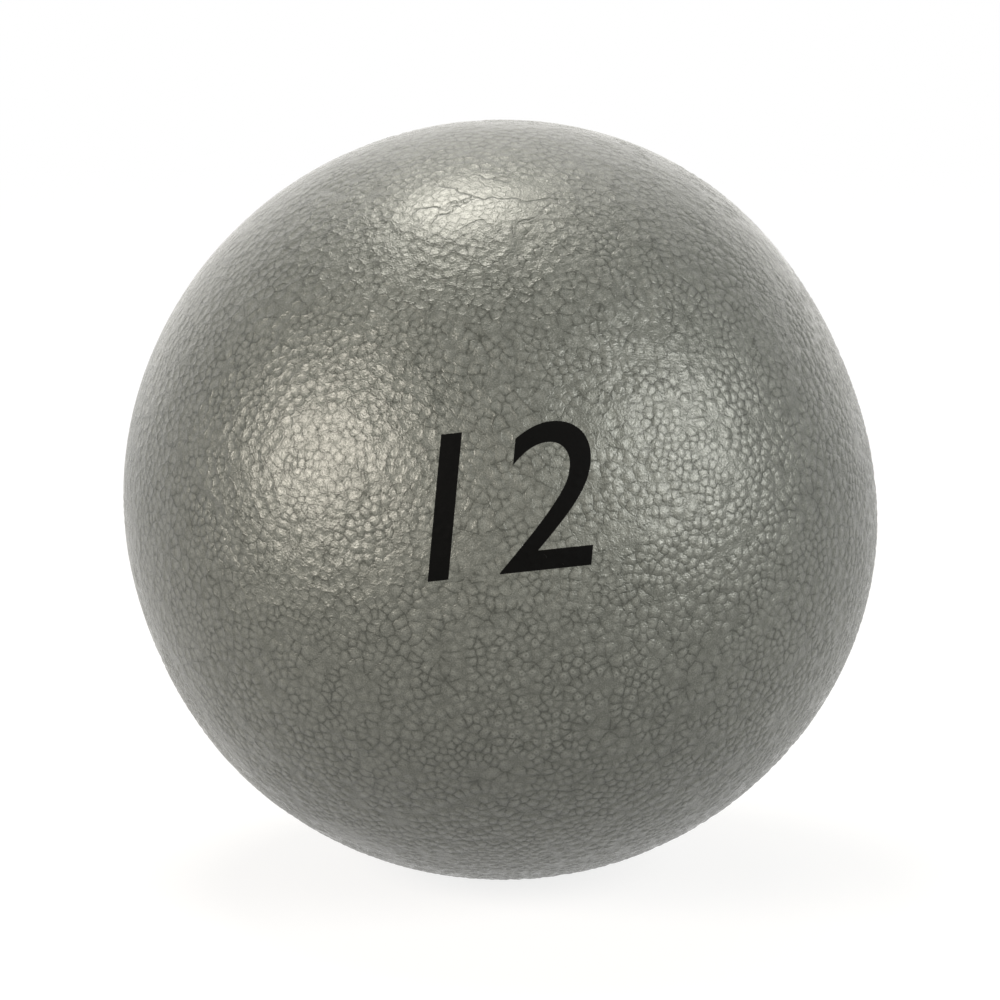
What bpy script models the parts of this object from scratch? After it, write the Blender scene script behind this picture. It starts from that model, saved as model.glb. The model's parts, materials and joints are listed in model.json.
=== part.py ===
"""A 12 lb iron shot: an enamelled grey-iron ball whose weight is trimmed with lead behind a screwed plug.

Metres, +Z up. The origin is the centre of the ball. The face with the weight number looks along -Y,
and the bore that takes the lead is drilled from the back, along +Y.
"""

import math

import bmesh
import bpy
from mathutils import Euler, Vector

# The ball as cast, before its gate and riser are ground off
ball_diameter = 0.113
ball_segments = 80
ball_rings = 38

# Each ground area is a broad, very shallow flat. Its cut fades with distance over the surface:
# at one reach from the middle, 60 % of the depth is left. The angles run from +X towards the top.
grind_plane_lean = math.radians(11)
gate_grind_angle = math.radians(24)
gate_grind_depth = 0.00193
gate_grind_reach = 0.0196
riser_grind_angle = math.radians(203)
riser_grind_depth = 0.00052
riser_grind_reach = 0.0129

# The plug: a headless M24 x 1.5 set plug with a 12 mm hexagon key socket. The socket's pilot hole is
# a step smaller than the hexagon, and the web is the metal left between its point and the inner end.
plug_diameter = 0.024
thread_pitch = 0.0015
plug_length = 0.014
plug_point_chamfer = 0.0012
plug_edge_break = 0.0004
key_flats = 0.012
key_pilot_step = 0.00075
key_pilot_point_angle = math.radians(120)
key_web = 0.0035
key_mouth_chamfer = 0.0004

# The bore: the thread's tapping drill, run on past the middle of the ball to make room for the lead
mouth_edge_break = 0.0005
thread_run_out = 0.001
drill_depth = 0.0655
drill_point_angle = math.radians(118)

# The filling
packing_thickness = 0.003
packing_edge_break = 0.0004
trim_disc_thickness = 0.0015
trim_disc_count = 3
trim_disc_edge_break = 0.0003
slug_edge_break = 0.0008

# Room between pieces that touch
fit_gap = 0.0003

turned_segments = 64
dome_steps = 10
same_point = 1e-7
skin_tolerance = 1e-6
cutter_margin = 0.004

ball_radius = ball_diameter / 2
plug_radius = plug_diameter / 2
port_radius = plug_radius + fit_gap
plug_inner_end = ball_radius - plug_length
port_end = plug_inner_end - thread_run_out
drill_radius = (plug_diameter - thread_pitch) / 2
drill_end = ball_radius - drill_depth
filling_radius = drill_radius - fit_gap
key_corner_radius = key_flats / 2 / math.cos(math.pi / 6)
key_pilot_radius = key_flats / 2 - key_pilot_step
key_pilot_tip = plug_inner_end + key_web
key_floor = key_pilot_tip + key_pilot_radius / math.tan(key_pilot_point_angle / 2)


def clear_scene():
    """Remove whatever the file opened with."""
    for obj in list(bpy.data.objects):
        bpy.data.objects.remove(obj, do_unlink=True)


def finish(name, colour, roughness, metallic):
    """A Principled material with one plain colour."""
    material = bpy.data.materials.new(name)
    material.use_nodes = True
    shader = material.node_tree.nodes["Principled BSDF"]
    shader.inputs["Base Color"].default_value = (*colour, 1.0)
    shader.inputs["Roughness"].default_value = roughness
    shader.inputs["Metallic"].default_value = metallic
    return material


def height_on_ball(radius):
    """Height along the bore's axis at which the ball has this radius about it."""
    return math.sqrt(ball_radius**2 - radius**2)


def sphere_arc(start, end, steps):
    """Points (radius, y) on the ball's outline between two angles from the front pole."""
    angles = [start + (end - start) * step / steps for step in range(steps + 1)]
    return [(ball_radius * math.sin(angle), -ball_radius * math.cos(angle)) for angle in angles]


def turned(name, profile, segments, material=None):
    """Spin a profile of (radius, y) points about the Y axis into one closed body."""
    bm = bmesh.new()
    points = [bm.verts.new((radius, y, 0.0)) for radius, y in profile]
    for first, second in zip(points, points[1:]):
        bm.edges.new((first, second))
    bmesh.ops.spin(
        bm,
        geom=bm.verts[:] + bm.edges[:],
        cent=(0.0, 0.0, 0.0),
        axis=(0.0, 1.0, 0.0),
        angle=math.tau,
        steps=segments,
        use_merge=True,
    )
    bmesh.ops.remove_doubles(bm, verts=bm.verts[:], dist=same_point)
    bmesh.ops.recalc_face_normals(bm, faces=bm.faces[:])
    mesh = bpy.data.meshes.new(name)
    bm.to_mesh(mesh)
    bm.free()
    mesh.shade_smooth()
    mesh.set_sharp_from_angle(angle=math.radians(30))
    if material:
        mesh.materials.append(material)
    obj = bpy.data.objects.new(name, mesh)
    bpy.context.scene.collection.objects.link(obj)
    return obj


def broken_disc(radius, low, high, edge_break):
    """The profile of a disc with both its edges broken."""
    return [
        (0.0, low),
        (radius - edge_break, low),
        (radius, low + edge_break),
        (radius, high - edge_break),
        (radius - edge_break, high),
        (0.0, high),
    ]


def ground_direction(angle):
    """The middle of a ground area, in the plane that leans back from the upright."""
    flat = Vector((math.cos(angle), 0.0, math.sin(angle)))
    return Euler((-grind_plane_lean, 0.0, 0.0)).to_matrix() @ flat


def ground_cut(direction):
    """How much the ground areas take off the ball's radius in a direction."""
    cut = 0.0
    for angle, depth, reach in (
        (gate_grind_angle, gate_grind_depth, gate_grind_reach),
        (riser_grind_angle, riser_grind_depth, riser_grind_reach),
    ):
        distance = ball_radius * direction.angle(ground_direction(angle))
        cut += depth * math.exp(-0.5 * (distance / reach) ** 2)
    return cut


def grind(obj):
    """Lower the outer skin of the ball over its two ground areas."""
    for vertex in obj.data.vertices:
        if vertex.co.length > ball_radius - skin_tolerance:
            vertex.co -= vertex.co.normalized() * ground_cut(vertex.co)
    obj.data.update()


def make_ball():
    """The casting: a sphere with a threaded port and a drilled bore behind it."""
    mouth_radius = port_radius + mouth_edge_break
    mouth_angle = math.pi - math.asin(mouth_radius / ball_radius)
    step_down = port_radius - drill_radius
    profile = sphere_arc(0.0, mouth_angle, ball_rings)
    profile += [
        (port_radius, height_on_ball(mouth_radius) - mouth_edge_break),
        (port_radius, port_end),
        (drill_radius, port_end - step_down),
        (drill_radius, drill_end),
        (0.0, drill_end - drill_radius / math.tan(drill_point_angle / 2)),
    ]
    enamel = finish("Hammertone enamel on iron", (0.19, 0.19, 0.165), 0.3, 0.6)
    ball = turned("iron_ball", profile, ball_segments, enamel)
    grind(ball)
    return ball


def make_plug():
    """The set plug, its outer end domed to lie flush, its inner end chamfered to start the thread."""
    rim_radius = plug_radius - plug_edge_break
    rim_height = height_on_ball(rim_radius)
    rim_angle = math.pi - math.asin(rim_radius / ball_radius)
    dome = sphere_arc(rim_angle, math.pi, dome_steps)
    profile = [
        (0.0, plug_inner_end),
        (plug_radius - plug_point_chamfer, plug_inner_end),
        (plug_radius, plug_inner_end + plug_point_chamfer),
        (plug_radius, rim_height - plug_edge_break),
    ]
    profile += dome[:-1] + [(0.0, ball_radius)]
    steel = finish("Enamelled steel", (0.2, 0.2, 0.175), 0.32, 0.6)
    plug = turned("screw_plug", profile, turned_segments, steel)
    for cutter in (key_socket(), key_pilot(), key_mouth()):
        cut = plug.modifiers.new(cutter.name, "BOOLEAN")
        cut.operation = "DIFFERENCE"
        cut.object = cutter
    return plug


def cutter_from(name, profile, segments):
    """A turned shape that cuts another piece and isn't one itself."""
    cutter = turned(name, profile, segments)
    cutter.hide_render = True
    cutter.display_type = "WIRE"
    return cutter


def key_socket():
    """The hexagon that takes the key: a turning in six segments is a hexagon."""
    outside = ball_radius + cutter_margin
    profile = [
        (0.0, key_floor),
        (key_corner_radius, key_floor),
        (key_corner_radius, outside),
        (0.0, outside),
    ]
    return cutter_from("key_socket_cutter", profile, 6)


def key_pilot():
    """The hole drilled before the hexagon was broached, whose point shows in the socket's floor."""
    top = (key_floor + ball_radius) / 2
    profile = [
        (0.0, key_pilot_tip),
        (key_pilot_radius, key_floor),
        (key_pilot_radius, top),
        (0.0, top),
    ]
    return cutter_from("key_pilot_cutter", profile, turned_segments)


def key_mouth():
    """The cone that breaks the hexagon's corners at the mouth, so that the key finds it."""
    low = height_on_ball(key_corner_radius) - 2 * key_mouth_chamfer
    high = low + cutter_margin
    radius = key_corner_radius - key_mouth_chamfer
    profile = [(0.0, low), (radius, low), (radius + cutter_margin, high), (0.0, high)]
    return cutter_from("key_mouth_cutter", profile, turned_segments)


def make_packing(low, high):
    """The fibre disc that the plug is screwed down on, so that nothing can rattle."""
    fibre = finish("Vulcanised fibre", (0.32, 0.09, 0.05), 0.7, 0.0)
    profile = broken_disc(filling_radius, low, high, packing_edge_break)
    return turned("packing_disc", profile, turned_segments, fibre)


def make_trim_disc(number, low, high, sheet_lead):
    """One disc punched from sheet lead, the small change of the weight."""
    profile = broken_disc(filling_radius, low, high, trim_disc_edge_break)
    return turned(f"trim_disc_{number}", profile, turned_segments, sheet_lead)


def make_slug(high):
    """The lead that is run into the blind end of the bore and fills the drill's point."""
    point_slope = 1 / math.tan(drill_point_angle / 2)
    gap_along_axis = fit_gap / math.sin(drill_point_angle / 2)
    tip = drill_end - drill_radius * point_slope + gap_along_axis
    profile = [
        (0.0, tip),
        (filling_radius, tip + filling_radius * point_slope),
        (filling_radius, high - slug_edge_break),
        (filling_radius - slug_edge_break, high),
        (0.0, high),
    ]
    lead = finish("Cast lead", (0.22, 0.23, 0.25), 0.5, 1.0)
    return turned("lead_slug", profile, turned_segments, lead)


def make_filling():
    """Stack the packing, the trim discs and the slug down the bore from the plug's inner end."""
    top = plug_inner_end - fit_gap
    pieces = [make_packing(top - packing_thickness, top)]
    top -= packing_thickness + fit_gap
    sheet_lead = finish("Sheet lead", (0.26, 0.27, 0.29), 0.45, 1.0)
    for number in range(1, trim_disc_count + 1):
        pieces.append(make_trim_disc(number, top - trim_disc_thickness, top, sheet_lead))
        top -= trim_disc_thickness + fit_gap
    pieces.append(make_slug(top))
    return pieces


def main():
    clear_scene()
    shot = bpy.data.objects.new("shot", None)
    bpy.context.scene.collection.objects.link(shot)
    for piece in [make_ball(), make_plug(), *make_filling()]:
        piece.parent = shot


main()
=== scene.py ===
import json
import math
from functools import partial

import bpy
import numpy as np
from mathutils import Euler, Matrix, Quaternion, Vector
from mathutils.geometry import delaunay_2d_cdt
from mathutils.kdtree import KDTree

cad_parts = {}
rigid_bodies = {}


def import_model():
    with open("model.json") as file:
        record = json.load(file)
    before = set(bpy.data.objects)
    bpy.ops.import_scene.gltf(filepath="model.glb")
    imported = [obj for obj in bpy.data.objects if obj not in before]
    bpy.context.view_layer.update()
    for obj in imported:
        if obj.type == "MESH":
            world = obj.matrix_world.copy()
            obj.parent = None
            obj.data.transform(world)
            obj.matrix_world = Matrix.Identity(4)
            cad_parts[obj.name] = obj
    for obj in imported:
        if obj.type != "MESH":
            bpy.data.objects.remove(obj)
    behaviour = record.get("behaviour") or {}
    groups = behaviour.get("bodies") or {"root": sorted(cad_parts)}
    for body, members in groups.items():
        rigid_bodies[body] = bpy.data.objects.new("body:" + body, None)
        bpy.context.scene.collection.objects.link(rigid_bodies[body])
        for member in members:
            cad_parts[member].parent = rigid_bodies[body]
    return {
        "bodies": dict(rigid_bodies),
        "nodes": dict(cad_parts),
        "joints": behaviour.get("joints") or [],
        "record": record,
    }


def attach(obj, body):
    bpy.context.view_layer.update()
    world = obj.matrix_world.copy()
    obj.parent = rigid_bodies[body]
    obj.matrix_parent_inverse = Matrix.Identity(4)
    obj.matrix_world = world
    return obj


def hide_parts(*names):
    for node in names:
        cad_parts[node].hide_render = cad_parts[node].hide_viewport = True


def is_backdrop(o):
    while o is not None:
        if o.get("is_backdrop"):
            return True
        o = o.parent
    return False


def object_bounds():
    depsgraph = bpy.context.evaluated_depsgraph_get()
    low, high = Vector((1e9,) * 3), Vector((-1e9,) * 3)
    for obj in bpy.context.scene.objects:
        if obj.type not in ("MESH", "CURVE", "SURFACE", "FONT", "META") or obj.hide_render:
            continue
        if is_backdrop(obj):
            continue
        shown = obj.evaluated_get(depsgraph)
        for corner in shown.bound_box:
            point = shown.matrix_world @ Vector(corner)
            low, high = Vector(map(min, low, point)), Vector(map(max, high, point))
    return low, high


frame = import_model()
cad_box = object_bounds()

# %% [markdown]
# # A 12 lb shot in hammertone enamel
# The real object is one lump of grey iron, cast a little light, drilled from the back and brought
# to its weight with lead behind a screwed plug. What the eye sees is the paint: a grey-green enamel
# with aluminium flake in it, which draws itself into small cells as it dries and looks like
# hammered metal. The model that was just loaded holds the solid parts. This lesson dresses them,
# one finish at a time.

# %% Units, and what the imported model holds
mm = 0.001
nodes = frame["nodes"]
print("The packed model holds", ", ".join(sorted(nodes)))

# %% [markdown]
# ## Colours and nodes
# Colours are written the way a screen shows them, as sRGB hex values, and one function turns them
# into the linear numbers that a renderer counts with. A second function adds a node to a tree with
# its settings and its links, so that a tree reads from top to bottom like a recipe. It serves
# Geometry Nodes and materials alike, because both kinds of tree share their texture and math nodes.
# Nodes could be wired by hand in Blender's editor, but then nobody can see how a number got there.


# %% A colour, a node and an object
def colour(hex_value):
    """An sRGB hex colour as linear RGBA."""
    channels = [int(hex_value[start : start + 2], 16) / 255 for start in (1, 3, 5)]
    linear = [c / 12.92 if c <= 0.04045 else ((c + 0.055) / 1.055) ** 2.4 for c in channels]
    return (*linear, 1.0)


def add_node(tree, kind, *values, **settings):
    """Add a node and return the first output that it shows.

    The kind may leave out ShaderNode, and a word after it sets its operation or interpolation.
    Values, or sockets to link from, fill the inputs that the node shows, or a dict names them.
    """
    kind, _, mode = kind.partition(" ")
    node = tree.nodes.new(kind if "Node" in kind else "ShaderNode" + kind)
    if mode:
        settings["operation" if hasattr(node, "operation") else "interpolation_type"] = mode
    for field, value in settings.items():
        setattr(node, field, value)
    if values and isinstance(values[0], dict):
        pairs = [(node.inputs[key], value) for key, value in values[0].items()]
    else:
        pairs = zip([socket for socket in node.inputs if socket.enabled], values)
    for socket, value in pairs:
        if isinstance(value, bpy.types.NodeSocket):
            tree.links.new(value, socket)
        else:
            socket.default_value = value
    return next((output for output in node.outputs if output.enabled), node)


def new_material(name):
    """An empty material, and the function that adds a node to it."""
    material = bpy.data.materials.new(name)
    material.use_nodes = True
    material.node_tree.nodes.clear()
    return material, partial(add_node, material.node_tree)


def put_in_scene(name, data):
    """A new object in the scene, at the origin."""
    obj = bpy.data.objects.new(name, data)
    bpy.context.scene.collection.objects.link(obj)
    return obj


print("Middle grey #808080 is", round(colour("#808080")[0], 4), "in linear light")

# %% [markdown]
# ## The camera
# The photograph is a catalogue picture, taken with a long lens from a little above the middle of
# the ball. A 200 mm lens on a 36 mm sensor, and the ball's radius of 380 pixels in a picture of
# 1000, give the distance. The ball stands a few pixels right of the middle, so the camera looks a
# little past it.

# %% The camera at the photograph's angle
ball_radius = 56.5 * mm
film_thickness = 0.12 * mm
relief_mean = 0.03 * mm
view_lift = math.radians(11)
lens = 200.0
sensor = 36.0
picture_width = 1000
radius_in_picture = 380.24
middle_in_picture = (2.75, 0.34)

to_camera = Vector((0.0, -math.cos(view_lift), math.sin(view_lift)))
view_right = Vector((1.0, 0.0, 0.0))
view_up = Vector((0.0, math.sin(view_lift), math.cos(view_lift)))
painted_radius = ball_radius + film_thickness + relief_mean
half_angle = math.atan(radius_in_picture / (lens / sensor * picture_width))
camera_distance = painted_radius / math.sin(half_angle)
pixel = painted_radius / radius_in_picture
aim = -pixel * (middle_in_picture[0] * view_right + middle_in_picture[1] * view_up)

camera_data = bpy.data.cameras.new("catalogue_camera")
camera_data.lens = lens
camera_data.sensor_width = sensor
camera_data.clip_start = 0.01
camera_data.clip_end = 20.0
camera = put_in_scene("catalogue_camera", camera_data)
camera.location = aim + to_camera * camera_distance
camera.rotation_euler = to_camera.to_track_quat("Z", "Y").to_euler()
bpy.context.scene.camera = camera
bpy.context.scene.view_settings.view_transform = "Standard"
print(f"The camera is {camera_distance:.3f} m away")
print(f"A pixel covers {pixel / mm:.3f} mm of the ball")

# %% [markdown]
# ## The studio
# The gloss on the ball shows three softboxes: a wide one overhead, a round one at the left and a
# tall, dimmer one at the right. A flash head lights its box unevenly, so each is drawn as a bright
# core with a dimmer part beside it. A weak fill low at the front and one behind the ball carry the
# rest. The fill and the two side boxes' dimmer parts reach below the floor, which cuts them off.
# All strengths were set with a matt ball of #808080 in the shot's place, whose middle renders at
# about 130. A glowing card could stand for a softbox, but a lamp gives the same soft light with
# fewer samples. The floor is grey board to the light that bounces off it. To the camera and to
# reflections alike it shows white, and near the ball a share of it stays board, so that it takes
# the ball's shadow.

# %% The floor
floor_radius = 3.0
floor_height = -(ball_radius + film_thickness + 2 * relief_mean)
# Near the ball this share of what is seen stays board, lit so bright, and it fades out over the
# reach. The white glow is turned up there to match, so that both together come to 1.
shadow_share = 0.3
lit_board = 0.65
shadow_reach = (0.12, 0.8)
board_tones = ("#7a756b", "#f6f6f4")
floor_sides = 96
white = colour("#ffffff")


def seen_directly(add):
    """1 for rays from the camera, a reflection or glass, and 0 for the light itself."""
    path = add("LightPath").node.outputs
    seen = add("Math MAXIMUM", path["Is Camera Ray"], path["Is Glossy Ray"])
    return add("Math MAXIMUM", seen, path["Is Transmission Ray"])


def make_floor():
    """A round of studio board under the ball."""
    material, add = new_material("Matt studio board")
    seen = seen_directly(add)
    board = add("Mix", seen, *(colour(tone) for tone in board_tones), data_type="RGBA")
    board = add("BsdfDiffuse", board)
    place = add("TexCoord").node.outputs["Object"]
    away = add("VectorMath LENGTH", place)
    near_share = 1 - shadow_share
    near_glow = (1 - shadow_share * lit_board) / near_share
    share = add("MapRange", away, *shadow_reach, near_share, 1.0)
    glow = add("Emission", white, add("MapRange", away, *shadow_reach, near_glow, 1.0))
    mix = add("MixShader", add("Math MULTIPLY", seen, share), board, glow)
    add("OutputMaterial", mix)
    turns = np.linspace(0, math.tau, floor_sides + 1)[:-1]
    corners = [
        (floor_radius * math.cos(t), floor_radius * math.sin(t), floor_height) for t in turns
    ]
    mesh = bpy.data.meshes.new("studio_floor")
    mesh.from_pydata(corners, [], [list(range(len(corners)))])
    mesh.materials.append(material)
    floor = put_in_scene("studio_floor", mesh)
    floor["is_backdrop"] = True


make_floor()
print("The floor lies at", round(floor_height / mm, 2), "mm")


# %% The world
def make_world(light, shown):
    """A plain white surround."""
    world = bpy.data.worlds.new("Plain studio")
    world.use_nodes = True
    world.node_tree.nodes.clear()
    add = partial(add_node, world.node_tree)
    strength = add("MapRange", seen_directly(add), 0.0, 1.0, light, shown)
    add("OutputWorld", add("Background", white, strength))
    bpy.context.scene.world = world


surround_light = 0.05
surround_shown = 1.0
make_world(surround_light, surround_shown)
print("The surround lights at", surround_light, "and shows at", surround_shown)

# %% Softboxes
lamp_distance = 0.8


def softbox(name, right, up, towards, half_wide, half_high, radiance, tint):
    """A softbox in a direction of the camera's view. Its half angles are as the ball sees it."""
    direction = (right * view_right + up * view_up + towards * to_camera).normalized()
    data = bpy.data.lights.new(name, "AREA")
    data.shape = "ELLIPSE"
    data.size = 2 * lamp_distance * math.tan(math.radians(half_wide))
    data.size_y = 2 * lamp_distance * math.tan(math.radians(half_high))
    data.color = colour(tint)[:3]
    data.energy = radiance * math.pi * (math.pi / 4 * data.size * data.size_y)
    lamp = put_in_scene(name, data)
    lamp.location = direction * lamp_distance
    lamp.rotation_euler = direction.to_track_quat("Z", "Y").to_euler()
    print(f"{name}: {data.energy:.1f} W")


# The direction is right, up and towards the camera. Then come the half width and half height in
# degrees, the radiance, where 1 is as bright as a white surround, and the lamp's tint.
softboxes = {
    "top_box_core": (-0.18, 0.98, -0.08, 13, 11.5, 9.8, "#fffaf2"),
    "top_box_side": (0.2, 0.965, -0.15, 14, 10, 2.4, "#fffaf2"),
    "left_box_core": (-0.79, 0.205, 0.577, 15, 18, 10.5, "#fff5ec"),
    "left_box_skirt": (-0.5, -0.3, 0.81, 22, 30, 0.9, "#fff5ec"),
    "right_box_core": (0.8, 0.26, 0.54, 13, 22, 7.4, "#fffefc"),
    "right_box_skirt": (0.66, -0.3, 0.69, 20, 42, 1.2, "#fffdf8"),
    "low_fill": (0.05, -0.3, 0.95, 38, 32, 0.4, "#fff2de"),
    "back_fill": (0.0, 0.35, -0.94, 45, 45, 0.6, "#fffaf2"),
}
for name, values in softboxes.items():
    softbox(name, *values)

# %% [markdown]
# ## How the trees are run
# Each Geometry Nodes tree below has named inputs for its sizes. One function opens a tree with
# them, one closes it with real geometry and a finish, and one runs a mesh through a finished tree
# and keeps the plain mesh that comes out, so that every later step has ordinary points and faces to
# work with.


# %% Open, close and run a tree
size_kinds = {float: "NodeSocketFloat", int: "NodeSocketInt"}


def open_tree(name, objects=(), **inputs):
    """A Geometry Nodes tree, its inputs by name, and the function that adds a node to it."""
    tree = bpy.data.node_groups.new(name, "GeometryNodeTree")
    tree.interface.new_socket("Geometry", in_out="INPUT", socket_type="NodeSocketGeometry")
    tree.interface.new_socket("Geometry", in_out="OUTPUT", socket_type="NodeSocketGeometry")
    tree.interface.new_socket("Finish", in_out="INPUT", socket_type="NodeSocketMaterial")
    for label in objects:
        tree.interface.new_socket(label, in_out="INPUT", socket_type="NodeSocketObject")
    for label, value in inputs.items():
        kind = size_kinds[type(value)]
        socket = tree.interface.new_socket(
            label.replace("_", " "), in_out="INPUT", socket_type=kind
        )
        socket.default_value = value
    add = partial(add_node, tree)
    return tree, add("NodeGroupInput").node.outputs, add


def close_tree(tree, geometry, finish):
    """End a tree with real geometry in its finish."""
    add = partial(add_node, tree)
    real = add("GeometryNodeRealizeInstances", geometry)
    done = add("GeometryNodeSetMaterial", {"Geometry": real, "Material": finish})
    add("NodeGroupOutput", done)


def run_tree(mesh, tree, **inputs):
    """Run a mesh through a tree and return the plain mesh that comes out."""
    worker = put_in_scene(mesh.name, mesh)
    modifier = worker.modifiers.new(tree.name, "NODES")
    modifier.node_group = tree
    for item in tree.interface.items_tree:
        label = item.name.replace(" ", "_")
        if item.in_out == "INPUT" and label in inputs:
            modifier[item.identifier] = inputs[label]
    bpy.context.view_layer.update()
    graph = bpy.context.evaluated_depsgraph_get()
    made = bpy.data.meshes.new_from_object(
        worker.evaluated_get(graph), preserve_all_data_layers=True, depsgraph=graph
    )
    worker.modifiers.remove(modifier)
    bpy.data.objects.remove(worker)
    return made


print("A tree's sizes may be", " or ".join(kind.__name__ for kind in size_kinds))

# %% [markdown]
# ## Where the cells sit
# Hammertone enamel draws itself into cells while it dries: the silicone in it opens a small crater
# round each droplet, the craters meet, and the flake is pushed into thin dark borders between them.
# So the pattern is a set of middles on the ball, each with the patch of paint that lies nearest to
# it. Geometry Nodes scatter the middles with a least distance between them, and leave some out in
# patches, so that large and small cells lie side by side as on the real paint.


# %% The cells' middles
patch_levels = (0.42, 0.58)


def middles_tree():
    """Scatter points over a ball, no two nearer than the spacing, and thin them out in patches."""
    tree, given, add = open_tree(
        "Cell middles",
        Ball_radius=ball_radius,
        Spacing=1.0 * mm,
        Tries_per_area=4.0e6,
        Patch_size=5.0 * mm,
        Least_kept=0.45,
        Seed=7,
    )
    sphere = add("GeometryNodeMeshIcoSphere", given["Ball radius"], 6)
    position = add("GeometryNodeInputPosition")
    patches = add("TexNoise", position, add("Math DIVIDE", 1.0, given["Patch size"]), 1.0)
    kept = add("MapRange", patches, *patch_levels, given["Least kept"], 1.0)
    points = {
        "Mesh": sphere,
        "Distance Min": given["Spacing"],
        "Density Max": given["Tries per area"],
        "Density Factor": kept,
        "Seed": given["Seed"],
    }
    points = add("GeometryNodeDistributePointsOnFaces", points, distribute_method="POISSON")
    outward = add("VectorMath NORMALIZE", position)
    on_ball = add("VectorMath SCALE", outward, given["Ball radius"])
    points = add("GeometryNodeSetPosition", {"Geometry": points, "Position": on_ball})
    points = add("GeometryNodePointsToVertices", points)
    close_tree(tree, points, given["Finish"])
    return tree


middles_mesh = run_tree(bpy.data.meshes.new("cell_middles"), middles_tree())
middles = np.zeros(len(middles_mesh.vertices) * 3, np.float32)
middles_mesh.vertices.foreach_get("co", middles)
middles = middles.reshape(-1, 3) / mm
cell_middles = put_in_scene("cell_middles", middles_mesh)
cell_width = math.sqrt(4 * math.pi * ball_radius**2 / len(middles))
print(f"{len(middles)} cells, {cell_width / mm:.2f} mm across on average")

# %% [markdown]
# ## The relief of the film
# A second tree gives any skin that lies on the bare iron its coat. It lifts each point by the film
# and by a low dome or a shallow dish over the nearest cell's middle, so that the creases fall
# exactly on the cells' borders. The film swells slowly over a centimetre or two as well, as sprayed
# enamel does. The borders would be ruled lines, so each point first wanders a little before it
# looks for its cell.


# %% The relief tree
# The cells dish in where a slow noise is high, and more so towards one side of the ball
dished_side = (-0.45, -0.2, 0.55)
side_share = 0.35
dished_levels = (0.52, 0.66)


def relief_tree():
    """Lift a bare skin by the film, the cells' domes and dishes, and a slow swell."""
    tree, given, add = open_tree(
        "Hammertone relief",
        ("Cell middles",),
        Ball_radius=ball_radius,
        Film=film_thickness,
        Dome_height=0.115 * mm,
        Dome_reach=0.9 * mm,
        Dished_share=0.7,
        Wander=0.2 * mm,
        Wander_size=1.2 * mm,
        Swell=0.12 * mm,
        Swell_size=11 * mm,
    )

    position = add("GeometryNodeInputPosition")
    outward = add("VectorMath NORMALIZE", position)
    place = add("VectorMath SCALE", outward, given["Ball radius"])
    wander_scale = add("Math DIVIDE", 1.0, given["Wander size"])
    wander = add("TexNoise", place, wander_scale, 1.0).node.outputs["Color"]
    wander = add("VectorMath SUBTRACT", wander, (0.5, 0.5, 0.5))
    wander = add("VectorMath SCALE", wander, add("Math MULTIPLY", 4.0, given["Wander"]))
    cell_place = add("VectorMath ADD", place, wander)

    targets = add("GeometryNodeObjectInfo", given["Cell middles"])
    near = {"Geometry": targets.node.outputs["Geometry"], "Sample Position": cell_place}
    near = add("GeometryNodeProximity", near, target_element="POINTS").node.outputs["Distance"]
    dome = add("MapRange SMOOTHSTEP", near, 0.0, given["Dome reach"], 0.5, -0.5)
    dome = add("Math MULTIPLY", dome, given["Dome height"])

    side = add("VectorMath DOT_PRODUCT", outward, dished_side)
    swell_scale = add("Math DIVIDE", 1.0, given["Swell size"])
    patches = add("TexNoise", place, swell_scale, 1.0)
    dished = add("Math MULTIPLY_ADD", side, side_share, patches)
    dished = add("MapRange SMOOTHSTEP", dished, *dished_levels, 0.0, given["Dished share"])
    form = add("Math MULTIPLY_ADD", dished, -2.0, 1.0)
    dome = add("Math MULTIPLY", dome, form)

    swell = add("TexNoise", place, swell_scale, 2.0, 0.4)
    swell = add("Math SUBTRACT", swell, 0.5)
    relief = add("Math MULTIPLY_ADD", swell, given["Swell"], dome)
    share = add("GeometryNodeInputNamedAttribute", "relief_share", data_type="FLOAT")
    raised = add("Math MULTIPLY_ADD", relief, share, given["Film"])
    lift = add("VectorMath SCALE", outward, raised)
    marked = given["Geometry"]
    for name, value in (("cell_place", cell_place), ("cell_dished", dished)):
        kind = "FLOAT_VECTOR" if value.type == "VECTOR" else "FLOAT"
        marked = {"Geometry": marked, "Name": name, "Value": value}
        marked = add("GeometryNodeStoreNamedAttribute", marked, data_type=kind, domain="POINT")
    moved = add("GeometryNodeSetPosition", {"Geometry": marked, "Offset": lift})
    close_tree(tree, moved, given["Finish"])
    return tree


relief = relief_tree()
print("Relief tree:", len(relief.nodes), "nodes")

# %% [markdown]
# ## The bare iron under the paint
# The gate and the riser, the two stubs that a casting keeps where the iron ran in, are ground off
# by hand. That leaves two broad flats, so shallow that only the outline and the shading show them.
# The skin repeats the part's own rule for them. It is a cube's six faces blown up to a ball,
# because such a grid has points of about the same spacing everywhere and no pole.

# %% The shape of the iron
grind_plane_lean = math.radians(11)
# The middle's angle from +X, and the cut's depth and reach
ground_areas = (
    (math.radians(24), 1.93 * mm, 19.6 * mm),
    (math.radians(203), 0.52 * mm, 12.9 * mm),
)


def iron_radius(directions):
    """The ground casting's radius in each direction."""
    radius = np.full(directions.shape[:-1], ball_radius)
    for angle, depth, reach in ground_areas:
        flat = Vector((math.cos(angle), 0.0, math.sin(angle)))
        middle = Euler((-grind_plane_lean, 0.0, 0.0)).to_matrix() @ flat
        away = np.arccos(np.clip(directions @ np.array(middle), -1, 1)) * ball_radius
        radius -= depth * np.exp(-0.5 * (away / reach) ** 2)
    return radius


def height_on_ball(radius):
    """Height along the bore's axis at which the ball has this radius about it."""
    return np.sqrt(ball_radius**2 - radius**2)


def unit(vectors):
    """The vectors at length 1."""
    return vectors / np.linalg.norm(vectors, axis=-1, keepdims=True)


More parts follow.
